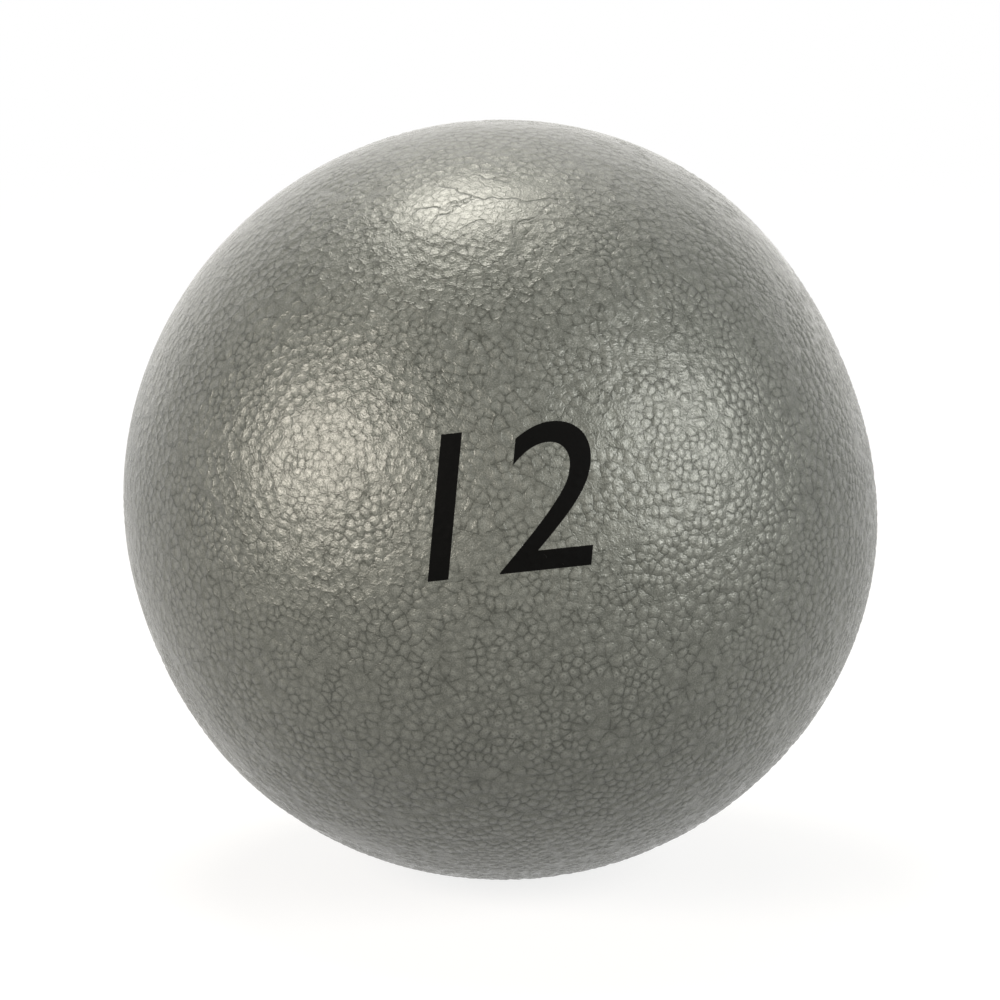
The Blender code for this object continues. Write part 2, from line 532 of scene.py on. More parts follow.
sideways_radius = float(iron_radius(np.array([1.0, 0.0, 0.0])))
print(f"The iron's radius along +X is {sideways_radius / mm:.2f} mm")

# %% Six grids of directions
# A panel is so many steps across, and its inner side takes one in four. Round the bore's mouth the
# grid's rings are circles out to the hole's half width, and then blend into squares.
panel_steps = 296
coarse = 4
hole_steps = 40
blend_steps = 40
mouth_film_radius = 12.95 * mm
same_direction = 1e-6
panel_axes = {
    "front": ((0, -1, 0), (1, 0, 0)),
    "back": ((0, 1, 0), (-1, 0, 0)),
    "left": ((-1, 0, 0), (0, -1, 0)),
    "right": ((1, 0, 0), (0, 1, 0)),
    "top": ((0, 0, 1), (1, 0, 0)),
    "bottom": ((0, 0, -1), (1, 0, 0)),
}
step_angle = math.pi / 2 / panel_steps
steps = np.arange(panel_steps + 1) - panel_steps / 2
step_i, step_j = np.meshgrid(steps, steps, indexing="ij")
square_ring = np.maximum(np.abs(step_i), np.abs(step_j))


def ring_turns(i, j):
    """The angle of each grid point when its square ring is drawn as a circle."""
    ring = np.maximum(np.maximum(np.abs(i), np.abs(j)), 1)
    sideways = np.where(i >= 0, 0, math.pi) + math.pi / 4 * j / ring * np.sign(i)
    upright = np.where(j >= 0, 1, -1) * math.pi / 2 - math.pi / 4 * i / ring * np.sign(j)
    return np.where(np.abs(i) >= np.abs(j), sideways, upright)


def on_circle(turns, across, up):
    """Unit steps away from an axis."""
    return np.cos(turns)[..., None] * across + np.sin(turns)[..., None] * up


def panel_directions(name):
    """A square grid of directions. The back's inner rings turn from squares into circles."""
    axis, across = (np.array(part, float) for part in panel_axes[name])
    up = np.cross(axis, across)
    squares = axis + np.tan(step_i * step_angle)[..., None] * across
    squares = unit(squares + np.tan(step_j * step_angle)[..., None] * up)
    if name != "back":
        return squares
    outward = on_circle(ring_turns(step_i, step_j), across, up)
    tilt = math.asin(mouth_film_radius / ball_radius) + (square_ring - hole_steps) * step_angle
    circles = np.cos(tilt)[..., None] * axis + np.sin(tilt)[..., None] * outward
    share = np.clip((square_ring - hole_steps) / blend_steps, 0, 1)
    share = (share * share * (3 - 2 * share))[..., None]
    return unit((1 - share) * circles + share * squares)


directions = {name: panel_directions(name) for name in panel_axes}
stacked = np.concatenate([grid.reshape(-1, 3) for grid in directions.values()])
rounded = np.round(stacked / same_direction).astype(np.int64)
_, first, inverse = np.unique(rounded, axis=0, return_index=True, return_inverse=True)
skin_directions = stacked[first]
numbers = dict(zip(directions, inverse.reshape(len(directions), panel_steps + 1, panel_steps + 1)))
point_spacing = step_angle * ball_radius / mm
print(f"{len(skin_directions)} points on the whole skin, {point_spacing:.2f} mm apart")

# %% [markdown]
# ## Round the bore's mouth
# The paint was sprayed with the plug already in, and the plug was never turned afterwards. So the
# film rolls over the edge of the bore and over the edge of the plug, and a hair-fine dark ring is
# left between the two coats. The rings below take the film over the bore's broken edge and back
# under it.

# %% The lip of the film at the mouth
mouth_radius = 12.8 * mm
# Radius and depth under the ball's outside in mm, and the share of the relief
lip_profile = ((12.74, 0.0, 0.8), (12.52, 0.16, 0.5), (12.33, 0.42, 0.2), (12.22, 0.72, 0.0))
# Radius, and height over the mouth's edge, in mm
under_profile = ((12.29, -0.60), (12.29, -0.49), (12.79, 0.02))


def numbered(rows, columns, start=0):
    """A grid of point numbers that count up from the first."""
    return start + np.arange(rows * columns).reshape(rows, columns)


def square_ring_points(half):
    """Grid places of a square ring, counter-clockwise from outside."""
    run = np.arange(-half, half)
    fixed = np.full(2 * half, half)
    i = np.concatenate([fixed, -run, -fixed, run])
    j = np.concatenate([run, fixed, -run, -fixed])
    return i, j


hole_i, hole_j = square_ring_points(hole_steps)
half_steps = panel_steps // 2
hole_numbers = numbers["back"][hole_i + half_steps, hole_j + half_steps]
back_axis, back_across = (np.array(part, float) for part in panel_axes["back"])
back_up = np.cross(back_axis, back_across)
hole_outward = on_circle(ring_turns(hole_i, hole_j), back_across, back_up)


def mouth_ring(radius, height):
    """A ring of points round the bore's axis."""
    return hole_outward * radius + back_axis * height


lip_rings = [mouth_ring(r * mm, height_on_ball(r * mm) - depth * mm) for r, depth, _ in lip_profile]
under_rings = [mouth_ring(r * mm, height_on_ball(mouth_radius) + y * mm) for r, y in under_profile]
lip_numbers = numbered(len(lip_rings), len(hole_i), len(skin_directions))
lip_loops = np.concatenate([hole_numbers[None], lip_numbers])
print(len(hole_i), "points round the mouth")


# %% Faces from grids of point numbers
def grid_faces(grid):
    """Four-cornered faces over a grid of point numbers."""
    return np.stack([grid[:-1, :-1], grid[1:, :-1], grid[1:, 1:], grid[:-1, 1:]], axis=-1)


def ring_faces(loops):
    """Four-cornered faces between rings of point numbers, each ring closed on itself."""
    onward = np.roll(loops, -1, axis=1)
    faces = np.stack([loops[:-1], onward[:-1], onward[1:], loops[1:]], axis=-1)
    return faces.reshape(-1, 4)


def outside_hole(half, size):
    """True for the faces of a square grid that lie outside its hole."""
    index = np.abs(np.arange(size) + 0.5 - size / 2)
    return np.maximum(index[:, None], index[None]) > half


print("Three by three points hold", grid_faces(numbered(3, 3)).size // 4, "faces")


# %% Meshes and their attributes
def mesh_of(name, points, groups):
    """A mesh from points and groups of faces, each group with one number of corners."""
    corners = np.concatenate([group.ravel() for group in groups]).astype(np.int32)
    sizes = np.concatenate([np.full(len(group), group.shape[1]) for group in groups])
    starts = np.concatenate([[0], np.cumsum(sizes)[:-1]]).astype(np.int32)
    mesh = bpy.data.meshes.new(name)
    mesh.vertices.add(len(points))
    mesh.vertices.foreach_set("co", np.asarray(points, np.float32).ravel())
    mesh.loops.add(len(corners))
    mesh.loops.foreach_set("vertex_index", corners)
    mesh.polygons.add(len(sizes))
    mesh.polygons.foreach_set("loop_start", starts)
    mesh.update(calc_edges=True)
    return mesh


def read_vectors(mesh, name):
    """A vector attribute of a mesh's points."""
    values = np.zeros(len(mesh.vertices) * 3, np.float32)
    mesh.attributes[name].data.foreach_get("vector", values)
    return values.reshape(-1, 3).astype(float)


def read_places(mesh):
    """Each point's place among the cells in mm, how dished its cell is, and its relief's share."""
    values = np.zeros((2, len(mesh.vertices)), np.float32)
    mesh.attributes["cell_dished"].data.foreach_get("value", values[0])
    mesh.attributes["relief_share"].data.foreach_get("value", values[1])
    return np.column_stack([read_vectors(mesh, "cell_place") / mm, *values])


def write_attribute(mesh, name, kind, domain, values):
    """Store an array as an attribute."""
    attribute = mesh.attributes.get(name) or mesh.attributes.new(name, kind, domain)
    field = "vector" if kind == "FLOAT_VECTOR" else "value"
    attribute.data.foreach_set(field, np.asarray(values, np.float32).ravel())


def triangle_count(mesh):
    """How many triangles a mesh comes to."""
    return sum(len(face.vertices) - 2 for face in mesh.polygons)


print("The mesh of middles has", triangle_count(cell_middles.data), "triangles, being points only")

# %% [markdown]
# ## Which cells are near
# The paint's shader draws the dark borders, and for that it has to know the nearest cells' middles.
# A search tree finds them once for every face, and the shader reads them from the faces. Then each
# point of the picture only measures four distances, which is quick and exact at any magnification.

# %% The four nearest cells of each face
cell_search = KDTree(len(middles))
for number, middle in enumerate(middles.tolist()):
    cell_search.insert(middle, number)
cell_search.balance()
cell_marks = np.random.default_rng(5).random(len(middles))


def nearest_cells(places, faces):
    """The numbers of the four cells nearest to each face."""
    centres = places[faces, :3].mean(axis=1)
    find = cell_search.find_n
    return np.array([[hit[1] for hit in find(centre, 4)] for centre in centres.tolist()])


def mark_cells(mesh, places, cells):
    """Give a mesh its points' places among the cells, and its first faces their cells."""
    rest = len(mesh.polygons) - len(cells)
    cells = np.concatenate([cells, np.zeros((rest, 4), int)])
    for order, letter in enumerate("abcd"):
        write_attribute(mesh, f"cell_{letter}", "FLOAT_VECTOR", "FACE", middles[cells[:, order]])
    write_attribute(mesh, "cell_mark", "FLOAT", "FACE", cell_marks[cells[:, 0]])
    write_attribute(mesh, "cell_place", "FLOAT_VECTOR", "POINT", places[:, :3])
    write_attribute(mesh, "cell_dished", "FLOAT", "POINT", places[:, 3])
    write_attribute(mesh, "relief_share", "FLOAT", "POINT", places[:, 4])


first_middle = middles[:1].astype(float)
print("The cells nearest to the first middle:", *nearest_cells(first_middle, np.array([[0]])))

# %% [markdown]
# ## Places for the marks
# Sprayed enamel isn't the same all over. It creases where it lay thick, pulls into combed ripples,
# opens small craters and gets scratched. Such marks could be painted on a map, but a map blurs up
# close. Here each is an oval spot with axes of its own, placed as the camera sees it, that holds
# one pattern.

# %% Spots on the ball
spot_edge = 0.45
spot_half_depth = 8 * mm


def spot_frame(right, up, turn):
    """Axes along, across and out of the ball at a spot, given in radii as the camera sees it."""
    out = right * view_right + up * view_up + math.sqrt(1 - right**2 - up**2) * to_camera
    along = (view_right - out * out.dot(view_right)).normalized()
    along = Quaternion(out, math.radians(turn)) @ along
    return Matrix((along, out.cross(along), out)).transposed()


def spot_share(points, right, up, turn, wide, high):
    """1 in the middle of an oval spot and 0 outside it, for an array of points."""
    frame = np.array(spot_frame(right, up, turn))
    local = (points - frame[:, 2] * ball_radius) @ frame / (wide, high, spot_half_depth)
    return np.clip((1 - np.linalg.norm(local, axis=1)) / spot_edge, 0, 1)


facing = spot_frame(0, 0, 0).col[2]
print("A spot in the picture's middle faces", [round(part, 2) for part in facing])

# %% [markdown]
# ## The enamel itself
# Hammertone enamel is an alkyd paint with aluminium flake and a little silicone. Under a clear,
# glossy surface lies a grey-green body, about half of which reflects as flake does. Along each
# cell's border the flake is missing, which leaves a thin dark vein. Beside it the colour is darker
# still, which is painted shade in the grooves between the cells, and each cell is a little lighter
# towards its middle, which is painted light. The surface is uneven within each cell, which breaks
# every reflection up into small bright blobs. Craters, creases, combed ripples and scratches stay
# within their spots, as colour and bump, because they are too fine for the mesh. The creases and
# the dots in the craters' middles are darkened with painted shade. A scanned picture of real paint
# would be quicker, but it repeats and keeps its old highlights. All lengths in this material are in
# millimetres on the ball.


# %% Where the marks are, and the paint's tones
# A spot is right and up in radii, a turn in degrees, and its half width and half height in mm.
# Where a second number follows, it is how far the mark stands up, or in if it is below 0, in mm.
spot_depth = 6.0
crater_spot = (0.14, -0.48, 0, 24.0, 17.0)
crease_spot = (-0.04, 0.76, 4, 15.0, 9.0)
comb_spots = (((0.22, 0.78, -22, 8.5, 9.0), 0.2), ((0.25, 0.35, 2, 16.0, 5.5), 0.13))
scratches = (
    ((0.63, 0.33, -70, 7.0, 0.35), -0.1),
    ((0.436, 0.573, -20, 2.6, 0.25), 0.06),
    ((-0.6, 0.29, -80, 4.0, 0.25), -0.06),
)
dark_body, light_body, vein_and_shade_tone = (colour(tone) for tone in ("#50524b", "#757770", "#3e4039"))
comb_stretch = (1.4, 9.0, 1.0)
# Widths along the borders, and heights of the bump, all in mm
corner_rounding = 0.25
raggedness = 0.9
vein_start, vein_reach = -0.1, 0.2
painted_border_shade_reach = 0.8
wall_half_width = 0.16
wall_height = 0.02
pinhole_shade_reach = (0.06, 0.22)
groove_reach, groove_depth = 0.35, 0.02
crease_width = 0.02
crease_depth = 0.06
rim_height_dished, rim_height_domed = 0.13, 0.03
grain_depth, least_grain = 0.075, 0.03
print(2 + len(comb_spots) + len(scratches), "marked spots")


# %% Spots and cells as nodes
def spot_nodes(add, place, right, up, turn, wide, high):
    """A spot's own coordinates, and 1 inside it and 0 outside."""
    frame = spot_frame(right, up, turn)
    layout = {
        "Vector": place,
        "Location": frame.col[2] * ball_radius / mm,
        "Rotation": frame.to_euler(),
        "Scale": (wide, high, spot_depth),
    }
    inner = add("Mapping", layout, vector_type="TEXTURE")
    away = add("VectorMath LENGTH", inner)
    return inner, add("MapRange SMOOTHSTEP", away, 0.5, 1.0, 1.0, 0.0)


def cell_nodes(add, place):
    """The distance to the nearest cell's middle, and how much farther off the next one is."""
    distances = []
    for letter in "abcd":
        middle = add("Attribute", attribute_name=f"cell_{letter}").node.outputs["Vector"]
        distances.append(add("VectorMath DISTANCE", place, middle))
    a, b, c, d = distances
    nearer_ab, nearer_cd = add("Math MINIMUM", a, b), add("Math MINIMUM", c, d)
    farther_ab, farther_cd = add("Math MAXIMUM", a, b), add("Math MAXIMUM", c, d)
    nearest = add("Math MINIMUM", nearer_ab, nearer_cd)
    second = add("Math MAXIMUM", nearer_ab, nearer_cd)
    third = add("Math MINIMUM", farther_ab, farther_cd)
    # Where three cells meet, a smooth minimum rounds the corner
    second = add("Math SMOOTH_MIN", second, third, corner_rounding)
    return nearest, add("Math SUBTRACT", second, nearest)


print("A spot reaches", spot_depth, "mm in and out of the paint")


# %% The enamel's material
def enamel_material():
    """Hammertone enamel that reads its cells from the mesh."""
    material, add = new_material("Hammertone enamel, sprayed and air dried")
    place = add("Attribute", attribute_name="cell_place").node.outputs["Vector"]
    spot = partial(spot_nodes, add, place)
    nearest, edge = cell_nodes(add, place)
    share, dished, mark = (
        add("Attribute", attribute_name=name).node.outputs["Fac"]
        for name in ("relief_share", "cell_dished", "cell_mark")
    )

    # Veins along the cells' borders, ragged and in places not drawn, and painted shade beside them in the
    # grooves between the cells
    ragged = add("Math MULTIPLY_ADD", add("TexNoise", place, 3.2, 3.0), raggedness, edge)
    ragged = add("Math SUBTRACT", ragged, raggedness / 2)
    vein = add("MapRange SMOOTHSTEP", ragged, vein_start, vein_reach, 1.0, 0.0)
    drawn = add("MapRange SMOOTHSTEP", add("TexNoise", place, 0.4, 3.0), 0.38, 0.6, 0.05, 1.0)
    drawn = add("Math MULTIPLY", drawn, share)
    painted_border_shade = add("Math MULTIPLY_ADD", drawn, 0.35, 0.15)
    painted_border_shade = add("Math MULTIPLY", add("MapRange SMOOTHSTEP", ragged, 0.0, painted_border_shade_reach, 1.0, 0.0), painted_border_shade)
    dark = add("Math MULTIPLY_ADD", vein, drawn, painted_border_shade)

    # Craters in some cells, with a raised wall, and a dark dot in the middle that is painted shade for
    # the small hole there
    cratered = spot(*crater_spot)[1]
    cratered = add("Math MULTIPLY", cratered, add("MapRange SMOOTHSTEP", mark, 0.35, 0.7, 0.0, 1.0))
    wall_radius = add("Math MULTIPLY_ADD", mark, -0.35, 0.62)
    wall = add("Math SUBTRACT", add("Math MULTIPLY_ADD", ragged, 0.12, nearest), wall_radius)
    wall = add("Math ABSOLUTE", wall)
    wall = add("MapRange SMOOTHSTEP", wall, 0.0, wall_half_width, 1.0, 0.0)
    wall = add("Math MULTIPLY", wall, cratered)
    pinhole_shade = add("MapRange SMOOTHSTEP", nearest, *pinhole_shade_reach, 1.0, 0.0)
    pinhole_shade = add("Math MULTIPLY", pinhole_shade, cratered)
    dark = add("Math MULTIPLY_ADD", pinhole_shade, 0.55, dark)

    # Creases, cut into the bump and darkened with painted shade
    crease_at, creased = spot(*crease_spot)
    crease = add("TexNoise", crease_at, 1.3, 2.0)
    crease = add("Math ABSOLUTE", add("Math SUBTRACT", crease, 0.5))
    crease = add("MapRange SMOOTHSTEP", crease, 0.0, crease_width, 1.0, 0.0)
    crease = add("Math MULTIPLY", crease, creased)
    dark = add("Math MULTIPLY_ADD", crease, 0.45, dark)

    # Tone from cell to cell and a fine grain. Each cell is a little lighter towards its middle, which is
    # painted light, and the crater walls are lighter too.
    tone = add("Math MULTIPLY", mark, 0.2)
    tone = add("Math MULTIPLY_ADD", add("TexNoise", place, 5.5, 2.0), 2.2, tone)
    # Lighter towards the cell's middle: painted light
    tone = add("Math ADD", tone, add("MapRange SMOOTHSTEP", nearest, 0.1, 0.75, 0.3, 0.0))
    tone = add("Math MULTIPLY_ADD", wall, 0.55, tone)
    tone = add("MapRange SMOOTHSTEP", tone, 0.6, 2.1, 0.0, 1.0)
    body = add("Mix", tone, dark_body, light_body, data_type="RGBA")
    # Veins take this colour, and so does the painted shade beside them, in the creases and in the craters
    base = add("Mix", dark, body, vein_and_shade_tone, data_type="RGBA")

    # The bump: grooves, grain, rims, crater walls, creases, combed ripples and scratches
    groove = add("MapRange SMOOTHSTEP", ragged, vein_start, groove_reach, 0.0, groove_depth)
    grain = add("Math MULTIPLY_ADD", share, grain_depth, least_grain)
    height = add("Math MULTIPLY_ADD", add("TexNoise", place, 3.0, 3.0), grain, groove)
    # A cell's rim rises steeply towards its border, up to a limit
    rise = add("Math POWER", add("Math MULTIPLY", nearest, 1.1), 3.5)
    rise = add("Math MINIMUM", rise, 1.2)
    rim = add("Math MULTIPLY_ADD", dished, rim_height_dished, -rim_height_domed)
    rim = add("Math MULTIPLY", rim, share)
    height = add("Math MULTIPLY_ADD", rise, rim, height)
    height = add("Math MULTIPLY_ADD", wall, wall_height, height)
    height = add("Math MULTIPLY_ADD", crease, -crease_depth, height)
    for where, depth in comb_spots:
        comb_at, combed = spot(*where)
        stretch = add("VectorMath MULTIPLY", comb_at, comb_stretch)
        stripes = add("Math MULTIPLY", add("TexNoise", stretch, 2.0, 3.0), combed)
        height = add("Math MULTIPLY_ADD", stripes, depth, height)
    for where, depth in scratches:
        height = add("Math MULTIPLY_ADD", spot(*where)[1], depth, height)
    bump = add("Bump", {"Height": height, "Distance": mm, "Strength": 1.0})
    # An alkyd's IOR is about 1.5. The coat's weight is a fit to the photograph and no more.
    shader = {
        "Base Color": base,
        "Metallic": 0.55,
        "Roughness": 0.4,
        "Specular IOR Level": 0.0,
        "Normal": bump,
        "Coat Weight": 0.68,
        "Coat Roughness": 0.12,
        "Coat IOR": 1.5,
        "Coat Normal": bump,
    }
    add("OutputMaterial", add("BsdfPrincipled", shader))
    return material


enamel = enamel_material()
print("Enamel:", len(enamel.node_tree.nodes), "nodes")

# %% The whole skin at once, smoother where the paint lay thick
skin_base = np.concatenate([skin_directions * iron_radius(skin_directions)[:, None], *lip_rings])
smooth_patch = (-0.06, 0.755, 4, 14 * mm, 8 * mm)
smoothed = 0.85
smooth_spot = spot_share(skin_directions * ball_radius, *smooth_patch)
lip_share = np.repeat([share for *_, share in lip_profile], len(hole_i))
skin_share = np.concatenate([1 - smoothed * smooth_spot, lip_share])
panel_faces = {}
for name, grid in numbers.items():
    faces = grid_faces(grid)
    if name == "back":
        outside = faces[outside_hole(hole_steps, panel_steps)]
        panel_faces[name] = np.concatenate([outside, ring_faces(lip_loops)])
    else:
        panel_faces[name] = faces.reshape(-1, 4)
skin_mesh = mesh_of("skin", skin_base, [np.concatenate(list(panel_faces.values()))])
write_attribute(skin_mesh, "relief_share", "FLOAT", "POINT", skin_share)
skin_mesh = run_tree(skin_mesh, relief, Cell_middles=cell_middles, Finish=enamel)
skin_points = read_vectors(skin_mesh, "position")
skin_places = read_places(skin_mesh)
skin_normals = np.zeros(len(skin_points) * 3, np.float32)
skin_mesh.vertex_normals.foreach_get("vector", skin_normals)
skin_normals = skin_normals.reshape(-1, 3)
skin_lift = np.linalg.norm(skin_points, axis=1) - np.linalg.norm(skin_base, axis=1)
print(f"The film stands {skin_lift.min() / mm:.3f} to {skin_lift.max() / mm:.3f} mm above the iron")

# %% [markdown]
# ## Six closed panels of coat
# One skin with half a million faces would be unwieldy, so the coat is cut into the cube's six
# panels. Each is a closed slab: the relief outside, a coarser inner side just above the iron, and
# rims. Their outer normals come from the whole skin, so that no seam shows where two panels meet.
# Each panel has its own flat map, with the outer grid as a plain square, for baking its paint into
# a picture.

# %% A panel's flat map
# The map holds the outer grid in a large square, the rims in four columns beside it, and the inner
# side in a small square under them. All places are shares of the map.
margin = 0.005
outer_share = 0.93
rim_columns = (0.943, 0.951)
rim_pitch = 0.013
rim_start, rim_length = 0.08, 0.85
inner_corner, inner_share = (0.945, 0.005), 0.05
lip_shrink = 0.1


def flat_place(i, j):
    """A grid step's place in the map's large square."""
    return margin + outer_share * (np.stack([i, j], -1) / panel_steps + 0.5)


print("The outer grid's middle lies at", flat_place(0, 0), "in the map")


# %% Rims, and the strips under the lip
def sides_of(grid):
    """The four sides of a grid, in order round it."""
    return grid[:, 0], grid[-1], grid[::-1, -1], grid[0, ::-1]


def rim_strips(grid, inner_grid):
    """Faces that close a panel between its outer and its inner side, and their map places."""
    rims, places = [], []
    last = len(inner_grid) - 1
    for number, (outer_edge, inner_edge) in enumerate(zip(sides_of(grid), sides_of(inner_grid))):
        left, right = (column + rim_pitch * number for column in rim_columns)
        for k in range(last):
            outer_run = outer_edge[coarse * k : coarse * k + coarse + 1][::-1]
            rims.append([*outer_run, inner_edge[k], inner_edge[k + 1]])
            low, high = (rim_start + rim_length * t / last for t in (k, k + 1))
            outer_side = [(left, high + (low - high) * s / coarse) for s in range(coarse + 1)]
            places.append([*outer_side, (right, low), (right, high)])
    return np.array(rims), np.array(places)


def mouth_strips(under, inner_grid):
    """Faces from the lip in under the film and on to the inner side, and map places for all."""
    shrink = 1 - lip_shrink * np.arange(1, 1 + len(lip_rings) + len(under_rings) + 1)
    ring_maps = flat_place(hole_i * shrink[:, None], hole_j * shrink[:, None])
    lip_map = np.concatenate([flat_place(hole_i, hole_j)[None], ring_maps])
    strip_maps = lip_map.reshape(-1, 2)[ring_faces(numbered(*lip_map.shape[:2]))]
    lips = len(lip_rings) * len(hole_i)
    round_under = ring_faces(np.concatenate([lip_numbers[-1:], under]))
    middle = len(inner_grid) // 2
    inner_i, inner_j = square_ring_points(hole_steps // coarse)
    inner_loop = inner_grid[inner_i + middle, inner_j + middle]
    last = under[-1]
    join, join_map = [], []
    for k in range(len(inner_loop)):
        run = np.arange(coarse * k, coarse * k + coarse + 1) % len(last)
        join.append([*last[run], *inner_loop[[(k + 1) % len(inner_loop), k]]])
        join_map.append([*lip_map[-2][run], *lip_map[-1][run[[-1, 0]]]])
    places = [strip_maps[lips : lips + len(round_under)], np.array(join_map)]
    return [round_under, np.array(join)], places, strip_maps[:lips]


print("A panel's side has", panel_steps // coarse, "rim faces")

# %% A closed panel
inner_gap = 0.02 * mm


def coat_panel(name):
    """One panel of the coat as a closed slab."""
    grid = numbers[name]
    inner_directions = directions[name][::coarse, ::coarse]
    inner = inner_directions * (iron_radius(inner_directions) + inner_gap)[..., None]
    side = len(inner)
    inner_grid = numbered(side, side, len(skin_points))
    points = np.concatenate([skin_points, inner.reshape(-1, 3)])

    outer_map = np.zeros((len(skin_points), 2))
    outer_map[grid] = flat_place(step_i, step_j)
    outer_map = outer_map[panel_faces[name]]
    inner_faces = grid_faces(inner_grid)[..., ::-1]
    across = np.arange(side)
    inner_places = np.stack(np.meshgrid(across, across, indexing="ij"), -1).reshape(-1, 2) / side
    groups, maps = [panel_faces[name]], [outer_map]
    if name == "back":
        inner_faces = inner_faces[outside_hole(hole_steps / coarse, side - 1)]
        under = numbered(len(under_rings), len(hole_i), len(points))
        points = np.concatenate([points, *under_rings])
        strips, strip_maps, lip_map = mouth_strips(under, inner_grid)
        outer_map[-len(lip_map) :] = lip_map
        groups += strips
        maps += strip_maps
    inner_faces = inner_faces.reshape(-1, 4)
    inner_map = inner_corner + inner_share * inner_places[inner_faces - len(skin_points)]
    rims, rim_map = rim_strips(grid, inner_grid)
    groups += [inner_faces, rims]
    maps += [inner_map, rim_map]

    corners = np.concatenate([group.ravel() for group in groups])
    used, compact = np.unique(corners, return_inverse=True)
    parts = np.split(compact.ravel(), np.cumsum([group.size for group in groups])[:-1])
    compact_groups = [part.reshape(group.shape) for part, group in zip(parts, groups)]
    mesh = mesh_of(f"enamel_{name}", points[used], compact_groups)
    mesh.materials.append(enamel)
    mesh.shade_smooth()
    uv = mesh.uv_layers.new(name="OFBake")
    flat_corners = np.concatenate([part.reshape(-1, 2) for part in maps])
    uv.uv.foreach_set("vector", flat_corners.astype(np.float32).ravel())
    normals = np.zeros((len(mesh.loops), 3), np.float32)
    normals[: groups[0].size] = skin_normals[groups[0].ravel()]
    mesh.normals_split_custom_set(normals.tolist())
    places = np.zeros((len(points), 5))
    places[: len(skin_places)] = skin_places
    mark_cells(mesh, places[used], nearest_cells(skin_places, panel_faces[name]))
    obj = put_in_scene(mesh.name, mesh)
    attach(obj, "root")
    return obj


for name in panel_axes:
    panel = coat_panel(name)
    print(panel.name, "has", triangle_count(panel.data), "triangles")

# %% [markdown]
# ## The screw plug
# The plug is a headless steel set plug, M24 x 1.5, turned from bar with a fine thread over its
# whole length and a broached hexagon for the key. It is drawn as rings round its axis: plain turned
# rings from the inner face to the dome, then rings that are the larger of the countersink's cone
# and the hexagon, which is what gives the scalloped mouth of a real key socket. The thread is cut
# by a tree.

# %% The plug's sizes
plug_segments = 360
plug_radius = 12.0 * mm
plug_inner_end = ball_radius - 14.0 * mm
point_chamfer = 1.2 * mm
plug_edge_break = 0.4 * mm
thread_pitch = 1.5 * mm
key_flats = 12.0 * mm
key_mouth_chamfer = 0.4 * mm
key_web = 3.5 * mm
pilot_radius = 5.25 * mm
pilot_half_angle = math.radians(60)
inner_ring_radius = 5.0 * mm
mouth_edge_radius = 7.28 * mm
scallop_depth = 0.53 * mm
pilot_tip = plug_inner_end + key_web
key_floor = pilot_tip + pilot_radius / math.tan(pilot_half_angle)
key_corner_radius = key_flats / 2 / math.cos(math.pi / 6)
mouth_low = height_on_ball(key_corner_radius) - 2 * key_mouth_chamfer
mouth_low_radius = key_corner_radius - key_mouth_chamfer
plug_turns = np.arange(plug_segments) * math.tau / plug_segments
hexagon = key_flats / 2 / np.cos(plug_turns % (math.pi / 3) - math.pi / 6)
print(f"The key's floor lies {(ball_radius - key_floor) / mm:.2f} mm under the ball's outside")


# %% Turned bodies, and the plug's rings
def turned_rings(profile):
    """Rings of points round the bore's axis. A ring has one radius, or one for each point."""
    rings = []
    for radius, height in profile:
        level = np.full(plug_segments, height)
        ring = [radius * np.cos(plug_turns), level, radius * np.sin(plug_turns)]
        rings.append(np.stack(ring, -1))
    return np.array(rings)


def turned_mesh(profile, capped):
    """A turned body. It ends in two points on the axis, or closes on itself as a ring does."""
    rings = turned_rings(profile)
    loops = numbered(len(rings), plug_segments)
    if not capped:
        return rings.reshape(-1, 3), [ring_faces(np.concatenate([loops, loops[:1]]))[:, ::-1]]
    poles = [(0.0, profile[0][1], 0.0), (0.0, capped, 0.0)]
    points = np.concatenate([rings.reshape(-1, 3), poles])
    first, last = loops[0], loops[-1]
    count = len(points)
    start = np.stack([np.full(plug_segments, count - 2), first, np.roll(first, -1)], -1)
    end = np.stack([np.full(plug_segments, count - 1), np.roll(last, -1), last], -1)
    return points, [ring_faces(loops)[:, ::-1], start, end]


rim_height = height_on_ball(plug_radius - plug_edge_break)
shank = np.arange(plug_inner_end + point_chamfer, rim_height - plug_edge_break, thread_pitch / 10)
mouth_top_radius = mouth_low_radius + height_on_ball(mouth_edge_radius) - mouth_low
scallop_low = mouth_low - scallop_depth
profile = [(inner_ring_radius, plug_inner_end), (plug_radius - point_chamfer, plug_inner_end)]
for t in np.linspace(0, 1, 9)[1:-1]:
    profile.append((plug_radius - point_chamfer * (1 - t), plug_inner_end + point_chamfer * t))
profile += [(plug_radius, height) for height in shank]
for t in (1, 1 / 2):
    profile.append((plug_radius - plug_edge_break * (1 - t), rim_height - plug_edge_break * t))
dome_radii = np.linspace(plug_radius - plug_edge_break, mouth_top_radius, 14)
profile += [(radius, height_on_ball(radius)) for radius in dome_radii]
for height in np.linspace(height_on_ball(mouth_top_radius), scallop_low, 26)[1:]:
    profile.append((np.maximum(hexagon, mouth_low_radius + height - mouth_low), height))
profile += [(hexagon, height) for height in np.linspace(scallop_low, key_floor, 6)[1:]]
for t in (0, 0.3, 0.6, 0.9):
    profile.append((pilot_radius * (1 - t), key_floor + (pilot_tip - key_floor) * t))
plug_points, plug_groups = turned_mesh(profile, capped=pilot_tip)
print(len(profile), "rings from the inner face to the pilot hole's point")


# %% Cut the thread
# An ISO thread is flat over a quarter of its pitch at the root and over an eighth at the crest
root_half = 0.125
crest_start = 0.4375


